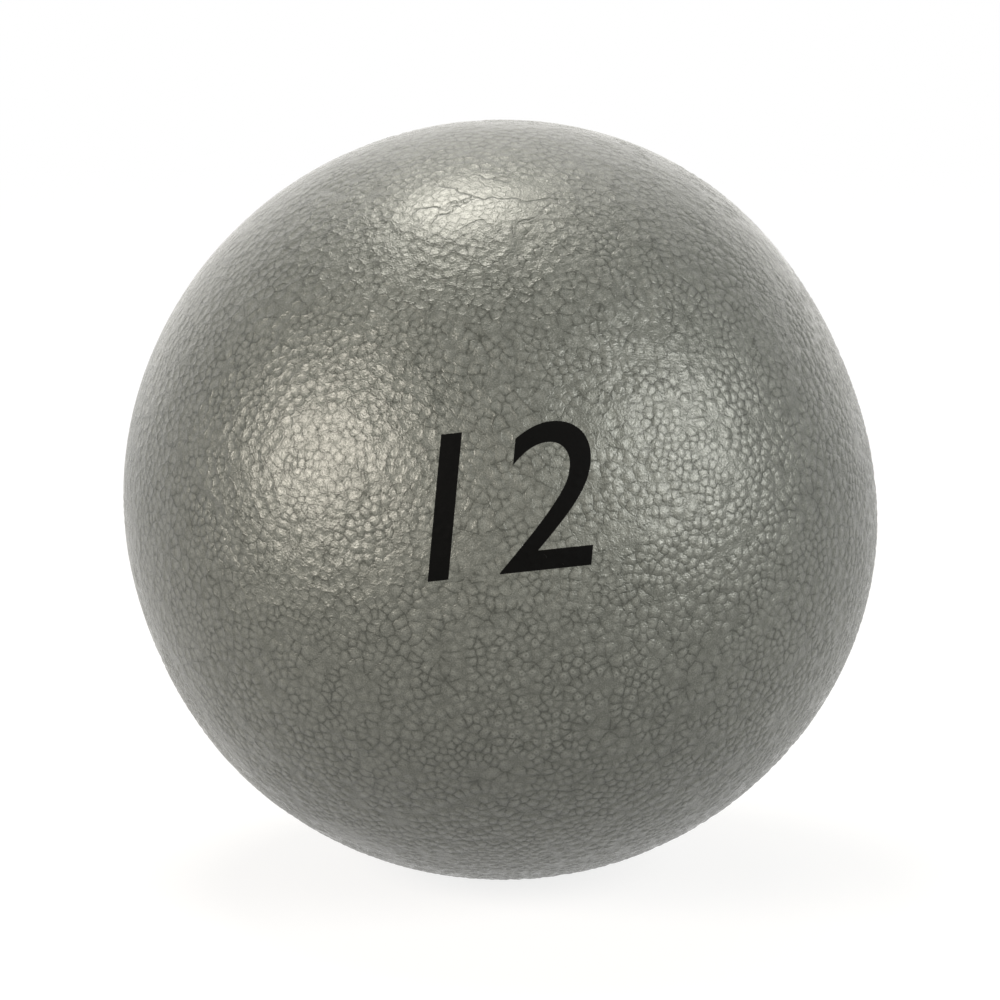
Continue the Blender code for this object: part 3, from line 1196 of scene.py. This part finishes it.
def thread_tree():
    """Cut a screw thread into the outside of a turned body about the Y axis."""
    tree, given, add = open_tree(
        "Screw thread",
        Radius=plug_radius,
        Pitch=thread_pitch,
        Depth=0.92 * mm,
        Top=float(rim_height),
        Inner_radius=10.79 * mm,
    )
    position = add("GeometryNodeInputPosition")
    place = add("SeparateXYZ", position).node.outputs
    turn = add("Math ARCTAN2", place["Z"], place["X"])
    turn = add("Math DIVIDE", turn, math.tau)
    along = add("Math DIVIDE", place["Y"], given["Pitch"])
    phase = add("Math SUBTRACT", along, turn)
    flank = add("Math PINGPONG", phase, 0.5)
    cut = add("MapRange", flank, root_half, crest_start, given["Depth"], 0.0)
    threaded = add("Math SUBTRACT", given["Radius"], cut)
    flat = add("VectorMath MULTIPLY", position, (1, 0, 1))
    radius = add("VectorMath LENGTH", flat)
    left = add("Math MINIMUM", radius, threaded)
    ratio = add("Math DIVIDE", left, radius)
    stretch = add("CombineXYZ", ratio, 1.0, ratio)
    moved = add("VectorMath MULTIPLY", position, stretch)
    outside = add("Math GREATER_THAN", radius, given["Inner radius"])
    below = add("Math LESS_THAN", place["Y"], given["Top"])
    chosen = add("Math MULTIPLY", outside, below)
    threads = {"Geometry": given["Geometry"], "Selection": chosen, "Position": moved}
    threads = add("GeometryNodeSetPosition", threads)
    close_tree(tree, threads, given["Finish"])
    return tree


thread = thread_tree()
print("Thread tree:", len(thread.nodes), "nodes")


# %% Metals
def metal_material(name, tone, tone_worn, roughness, grain_size, bump_depth, stretch=(1, 1, 1)):
    """A metal with uneven tarnish and a fine grain. The sizes are in millimetres."""
    material, add = new_material(name)
    place = add("TexCoord").node.outputs["Object"]
    place = add("VectorMath MULTIPLY", place, stretch)
    clouds = add("TexNoise", place, 120.0, 3.0)
    grain = add("TexNoise", place, 1000 / grain_size, 3.0)
    share = add("MapRange", clouds, 0.35, 0.65)
    base = add("Mix", share, colour(tone), colour(tone_worn), data_type="RGBA")
    rough = add("MapRange", grain, 0.3, 0.7, roughness * 0.8, roughness * 1.2)
    bump = add("Bump", {"Height": grain, "Distance": bump_depth * mm, "Strength": 1.0})
    shader = {"Base Color": base, "Metallic": 1.0, "Roughness": rough, "Normal": bump}
    add("OutputMaterial", add("BsdfPrincipled", shader))
    return material


# Turned and broached from bar, then blackened by the oil it was cut in
plug_metal = metal_material(
    "Turned steel, oil darkened", "#6f6d68", "#8d8a83", 0.38, 0.4, 0.02, (1, 0.15, 1)
)
print("The plug's steel:", len(plug_metal.node_tree.nodes), "nodes")

# %% The plug, threaded
plug_mesh = mesh_of("plug_steel", plug_points, plug_groups)
plug_mesh = run_tree(plug_mesh, thread, Finish=plug_metal)
plug_mesh.name = "plug_steel"
plug_mesh.shade_smooth()
plug_mesh.set_sharp_from_angle(angle=math.radians(32))
plug = put_in_scene("plug_steel", plug_mesh)
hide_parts("screw_plug")
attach(plug, "root")
print("The plug has", triangle_count(plug_mesh), "triangles")

# %% The coat on the plug
# As at the mouth: radius, depth and share of the relief, then radius and height, all lengths in mm
plug_lip = (
    (12.08, 0.62, 0.0),
    (12.06, 0.45, 0.1),
    (11.93, 0.20, 0.4),
    (11.70, 0.03, 0.7),
    (11.45, 0.0, 1.0),
)
plug_mouth = ((7.42, 0.02, 0.7), (7.30, 0.12, 0.3), (7.22, 0.25, 0.0))
plug_field = [(float(r), 0.0, 1.0) for r in np.arange(11.2, 7.6, -0.25)]
plug_under = (
    (7.27, -0.03),
    (7.6, 0.02),
    (9.6, 0.02),
    (11.5, 0.02),
    (11.62, 0.0),
    (12.01, -0.40),
    (12.01, -0.60),
)
under_shoulder = 11.62
coat_rings = (*plug_lip, *plug_field, *plug_mouth)
rings = [(r * mm, height_on_ball(r * mm) - depth * mm) for r, depth, _ in coat_rings]
coat_points, coat_groups = turned_mesh(rings, capped=None)
coat_share = np.repeat([share for *_, share in coat_rings], plug_segments)
coat_mesh = mesh_of("enamel_plug", coat_points, coat_groups)
write_attribute(coat_mesh, "relief_share", "FLOAT", "POINT", coat_share)
coat_mesh = run_tree(coat_mesh, relief, Cell_middles=cell_middles, Finish=enamel)
top_points, top_places = read_vectors(coat_mesh, "position"), read_places(coat_mesh)
under = [(r * mm, height_on_ball(min(r, under_shoulder) * mm) + y * mm) for r, y in plug_under]
under = turned_rings(under)
coat_loops = numbered(len(coat_rings) + len(under), plug_segments)
coat_faces = ring_faces(np.concatenate([coat_loops, coat_loops[:1]]))[:, ::-1]
coat_mesh = mesh_of("enamel_plug", np.concatenate([top_points, under.reshape(-1, 3)]), [coat_faces])
coat_mesh.materials.append(enamel)
coat_mesh.shade_smooth()
under_places = np.zeros((under.size // 3, 5))
under_places[:, :3] = unit(under.reshape(-1, 3)) * ball_radius / mm
coat_places = np.concatenate([top_places, under_places])
mark_cells(coat_mesh, coat_places, nearest_cells(coat_places, coat_faces))
coat = put_in_scene("enamel_plug", coat_mesh)
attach(coat, "root")
print("The plug's coat has", 2 * len(coat_faces), "triangles")

# %% [markdown]
# ## The number
# The weight in pounds is printed on the front in matt black, with a soft pad that presses the ink
# from a flat plate onto the ball. So a flat number is filled with small triangles and laid straight
# onto the enamel from the front, and it follows every cell under it.

# %% The number's flat shape
number_middle = (0.6, 0.0)
number_turn = math.radians(6)
number_height = 20.5 * mm
ink_step = 0.2 * mm
ink_film = 0.06 * mm
# No filling point lies nearer to the outline than this share of a step
least_room = 0.6
plate_distance = 0.1


def number_outlines():
    """The outlines of the number as closed runs of flat points, about the middle."""
    text = bpy.data.curves.new("number", "FONT")
    text.body = "12"
    text.offset = 0.1
    text.shear = 0.2
    text.space_character = 1.02
    text.resolution_u = 24
    text.fill_mode = "NONE"
    worker = put_in_scene("number", text)
    bpy.context.view_layer.update()
    graph = bpy.context.evaluated_depsgraph_get()
    flat = bpy.data.meshes.new_from_object(worker.evaluated_get(graph))
    bpy.data.objects.remove(worker)
    points = np.array([vertex.co[:2] for vertex in flat.vertices])
    follow = {}
    for edge in flat.edges:
        for here, there in (edge.vertices, reversed(edge.vertices)):
            follow.setdefault(here, []).append(there)
    runs = []
    while follow:
        run = [next(iter(follow))]
        while True:
            onward = [point for point in follow.pop(run[-1]) if point in follow]
            if not onward:
                break
            run.append(onward[0])
        runs.append(points[run])
    low, high = points.min(axis=0), points.max(axis=0)
    size = number_height / (high - low)[1]
    return [(run - (low + high) / 2) * size for run in runs]


def evenly(run, step):
    """The points of a closed run, and more between them where they are far apart."""
    fine = []
    for here, there in zip(run, np.roll(run, -1, axis=0)):
        parts = max(1, round(float(np.linalg.norm(there - here)) / step))
        fine += [here + (there - here) * part / parts for part in range(parts)]
    return np.array(fine)


outlines = [evenly(run, ink_step) for run in number_outlines()]
print(len(outlines), "outlines,", [len(run) for run in outlines], "points")

# %% Fill the outlines
def inside(points, run):
    """True for the points within a closed run."""
    x, y = points[:, 0], points[:, 1]
    odd = np.zeros(len(points), bool)
    for (x0, y0), (x1, y1) in zip(run, np.roll(run, -1, axis=0)):
        if y0 != y1:
            crosses = (y0 > y) != (y1 > y)
            odd ^= crosses & (x < (x1 - x0) * (y - y0) / (y1 - y0) + x0)
    return odd


def filled(run):
    """Triangles over a closed run."""
    low, high = run.min(axis=0), run.max(axis=0)
    x = np.arange(low[0], high[0], ink_step)
    y = np.arange(low[1], high[1], ink_step)
    grid = np.stack(np.meshgrid(x, y, indexing="ij"), -1).reshape(-1, 2)
    grid = grid[inside(grid, run)]
    room = np.array([np.min(np.sum((run - point) ** 2, axis=1)) for point in grid])
    points = np.concatenate([run, grid[room > (least_room * ink_step) ** 2]])
    loop = [list(range(len(run)))]
    corners = [Vector(point) for point in points]
    found, _, faces, *_ = delaunay_2d_cdt(corners, [], loop, 1, ink_step / 1000)
    return np.array([tuple(point) for point in found]), np.array(faces)


flat_pieces = [filled(run) for run in outlines]
print([len(triangles) for _, triangles in flat_pieces], "triangles")


# %% Press it onto the skin
def ink_tree():
    """Press a flat shape onto a skin from one side and lift it by the ink's thickness."""
    tree, given, add = open_tree("Pad printing", ("Skin",), Ink=0.02 * mm, Reach=0.2)
    position = add("GeometryNodeInputPosition")
    skin_target = add("GeometryNodeObjectInfo", given["Skin"]).node.outputs["Geometry"]
    ray = {
        "Target Geometry": skin_target,
        "Source Position": position,
        "Ray Direction": tuple(-to_camera),
        "Ray Length": given["Reach"],
    }
    ray = add("GeometryNodeRaycast", ray)
    hit = ray.node.outputs["Hit Position"]
    outward = add("VectorMath NORMALIZE", hit)
    lift = add("VectorMath SCALE", outward, given["Ink"])
    pressed = {"Geometry": given["Geometry"], "Position": hit, "Offset": lift}
    pressed = add("GeometryNodeSetPosition", pressed)
    close_tree(tree, pressed, given["Finish"])
    return tree


def ink_material():
    """Matt black printing ink with a few specks of wear."""
    material, add = new_material("Matt black pad-printing ink")
    place = add("TexCoord").node.outputs["Object"]
    grain = add("TexNoise", place, 2500.0, 2.0)
    base = add("Mix", grain, colour("#030303"), colour("#0a0a09"), data_type="RGBA")
    shader = {"Base Color": base, "Roughness": 0.6, "Specular IOR Level": 0.04}
    add("OutputMaterial", add("BsdfPrincipled", shader))
    return material


ink = ink_material()
pad = ink_tree()
print("Pad printing tree:", len(pad.nodes), "nodes")


# %% Lay the number on the ball and close it
def print_number():
    """The number as a closed film of ink on the enamel."""
    skin = put_in_scene("skin", skin_mesh)
    right, up, towards = (np.array(axis) for axis in (view_right, view_up, to_camera))
    cosine, sine = math.cos(number_turn), math.sin(number_turn)
    turn = np.array([[cosine, sine], [-sine, cosine]])
    tops, faces, sides, count = [], [], [], 0
    for run, (flat, triangles) in zip(outlines, flat_pieces):
        edge = np.arange(len(run))
        faces.append(triangles + count)
        sides.append(np.stack([edge, np.roll(edge, -1)], -1) + count)
        tops.append(flat @ turn + np.array(number_middle) * mm)
        count += len(flat)
    flat = np.concatenate(tops)
    start = flat[:, :1] * right + flat[:, 1:] * up + towards * plate_distance
    faces, sides = np.concatenate(faces), np.concatenate(sides)
    top = run_tree(mesh_of("number_ink", start, [faces]), pad, Skin=skin, Finish=ink)
    bpy.data.objects.remove(skin)
    top = read_vectors(top, "position")
    under = top - unit(top) * ink_film
    corner = top[faces[0]]
    if np.dot(np.cross(corner[1] - corner[0], corner[2] - corner[0]), towards) < 0:
        faces = faces[:, ::-1]
    walls = np.stack([sides[:, 1], sides[:, 0], sides[:, 0] + count, sides[:, 1] + count], -1)
    x, y = outlines[0].T
    if np.sum(x * np.roll(y, -1) - y * np.roll(x, -1)) < 0:
        walls = walls[:, ::-1]
    mesh = mesh_of(
        "number_ink", np.concatenate([top, under]), [faces, faces[:, ::-1] + count, walls]
    )
    mesh.materials.append(ink)
    mesh.shade_smooth()
    mesh.set_sharp_from_angle(angle=math.radians(60))
    obj = put_in_scene("number_ink", mesh)
    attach(obj, "root")
    return obj


number = print_number()
print("The number has", len(number.data.polygons), "faces")

# %% [markdown]
# ## The pieces inside
# Nothing inside shows until the model is taken apart, and each piece keeps the finish of its
# making.


# %% Finishes of the inner pieces
def fibre_material():
    """Vulcanised fibre, pressed from layers of red paper."""
    material, add = new_material("Vulcanised fibre, punched from sheet")
    place = add("TexCoord").node.outputs["Object"]
    layers = add("VectorMath MULTIPLY", place, (1, 6, 1))
    layers = add("TexNoise", layers, 900.0, 4.0)
    base = add("Mix", layers, colour("#6a2a1c"), colour("#8a4030"), data_type="RGBA")
    bump = add("Bump", {"Height": layers, "Distance": 0.03 * mm, "Strength": 1.0})
    shader = {"Base Color": base, "Roughness": 0.7, "Normal": bump}
    add("OutputMaterial", add("BsdfPrincipled", shader))
    return material


# Sand-cast skin, dark and grainy
cast_iron = metal_material(
    "Grey cast iron, sand cast and drilled", "#4a4846", "#5c5955", 0.62, 0.7, 0.06
)
# Run in molten, with the dull skin that lead gets in air
cast_lead = metal_material("Lead, run in and tarnished", "#5f6164", "#797c80", 0.55, 1.2, 0.08)
# Rolled sheet, smoother and a little brighter
sheet_lead = metal_material(
    "Sheet lead, rolled and punched", "#6c6f73", "#8a8e93", 0.42, 0.5, 0.03, (1, 1, 0.2)
)
fibre = fibre_material()
finishes = {
    "iron_ball": cast_iron,
    "lead_slug": cast_lead,
    "packing_disc": fibre,
    "screw_plug": plug_metal,
}
for name, node in nodes.items():
    finish = finishes.get(name, sheet_lead)
    for slot in node.material_slots:
        slot.link = "OBJECT"
        slot.material = finish
    print(name, "is in", finish.name)

# %% [markdown]
# ## The last look at the sizes
# The boxes before and after dressing are printed, so that one can see that the paint adds no
# more than a paint film does.

# %% Boxes, and the end
bpy.data.objects.remove(cell_middles)
dressed_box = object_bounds()
boxes = {"cad": [list(corner) for corner in cad_box], "dressed": [list(corner) for corner in dressed_box]}
for name, box in boxes.items():
    print(f"The {name} box in mm:", [[round(value / mm, 2) for value in corner] for corner in box])
